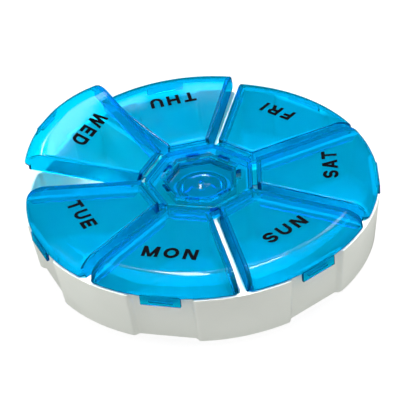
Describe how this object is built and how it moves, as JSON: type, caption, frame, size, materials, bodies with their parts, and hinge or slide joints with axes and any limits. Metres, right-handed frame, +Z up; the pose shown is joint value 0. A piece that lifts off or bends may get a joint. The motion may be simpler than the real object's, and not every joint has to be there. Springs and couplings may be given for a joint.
{
  "type": "travel pill organizer",
  "caption": "Round pocket pill box: white tray with wedge compartments under translucent blue hinged lids around a snapped-in hub, each lid with a latch tab and a printed day.",
  "frame": {"origin": "centre of the tray's flat underside, on the axis of the seven-fold ring of compartments", "axes": "+Z up out of the tray; -Y through the middle of the Monday compartment; days run clockwise seen from above"},
  "size_m": [0.09, 0.0898, 0.0278],
  "materials": {
    "tray_plastic": "semi-gloss moulded white polypropylene",
    "lid_plastic": "glossy translucent blue polypropylene",
    "print_ink": "black pad print"
  },
  "bodies": {
    "tray_and_hub": {"base_tray": "tray_plastic", "lid_hub": "lid_plastic", "living_hinge_mon": "lid_plastic", "living_hinge_tue": "lid_plastic", "living_hinge_wed": "lid_plastic", "living_hinge_thu": "lid_plastic", "living_hinge_fri": "lid_plastic", "living_hinge_sat": "lid_plastic", "living_hinge_sun": "lid_plastic"},
    "lid_mon": {"lid_mon": "lid_plastic", "day_print_mon": "print_ink"},
    "lid_tue": {"lid_tue": "lid_plastic", "day_print_tue": "print_ink"},
    "lid_wed": {"lid_wed": "lid_plastic", "day_print_wed": "print_ink"},
    "lid_thu": {"lid_thu": "lid_plastic", "day_print_thu": "print_ink"},
    "lid_fri": {"lid_fri": "lid_plastic", "day_print_fri": "print_ink"},
    "lid_sat": {"lid_sat": "lid_plastic", "day_print_sat": "print_ink"},
    "lid_sun": {"lid_sun": "lid_plastic", "day_print_sun": "print_ink"}
  },
  "joints": [
    {"name": "lid_mon_hinge", "type": "hinge", "parent": "tray_and_hub", "child": "lid_mon", "pos_m": [0, -0.0135, 0.01742], "axis": [-1, 0, 0], "range_deg": [0, 80], "stiffness_Nm_per_rad": 0.025, "deforming": ["living_hinge_mon"]},
    {"name": "lid_tue_hinge", "type": "hinge", "parent": "tray_and_hub", "child": "lid_tue", "pos_m": [-0.01055, -0.00842, 0.01742], "axis": [0.6235, -0.7818, 0], "range_deg": [-80, 0], "stiffness_Nm_per_rad": 0.025, "deforming": ["living_hinge_tue"]},
    {"name": "lid_wed_hinge", "type": "hinge", "parent": "tray_and_hub", "child": "lid_wed", "pos_m": [-0.01316, 0.003, 0.01742], "axis": [0.2225, 0.9749, 0], "range_deg": [-20, 60], "stiffness_Nm_per_rad": 0.025, "deforming": ["living_hinge_wed"]},
    {"name": "lid_thu_hinge", "type": "hinge", "parent": "tray_and_hub", "child": "lid_thu", "pos_m": [-0.00586, 0.01216, 0.01742], "axis": [0.901, 0.4339, 0], "range_deg": [-5, 40], "stiffness_Nm_per_rad": 0.025, "deforming": ["living_hinge_thu"]},
    {"name": "lid_fri_hinge", "type": "hinge", "parent": "tray_and_hub", "child": "lid_fri", "pos_m": [0.00586, 0.01216, 0.01742], "axis": [-0.901, 0.4339, 0], "range_deg": [-80, 0], "stiffness_Nm_per_rad": 0.025, "deforming": ["living_hinge_fri"]},
    {"name": "lid_sat_hinge", "type": "hinge", "parent": "tray_and_hub", "child": "lid_sat", "pos_m": [0.01316, 0.003, 0.01742], "axis": [0.2225, -0.9749, 0], "range_deg": [0, 80], "stiffness_Nm_per_rad": 0.025, "deforming": ["living_hinge_sat"]},
    {"name": "lid_sun_hinge", "type": "hinge", "parent": "tray_and_hub", "child": "lid_sun", "pos_m": [0.01055, -0.00842, 0.01742], "axis": [0.6235, 0.7818, 0], "range_deg": [-80, 0], "stiffness_Nm_per_rad": 0.025, "deforming": ["living_hinge_sun"]}
  ]
}
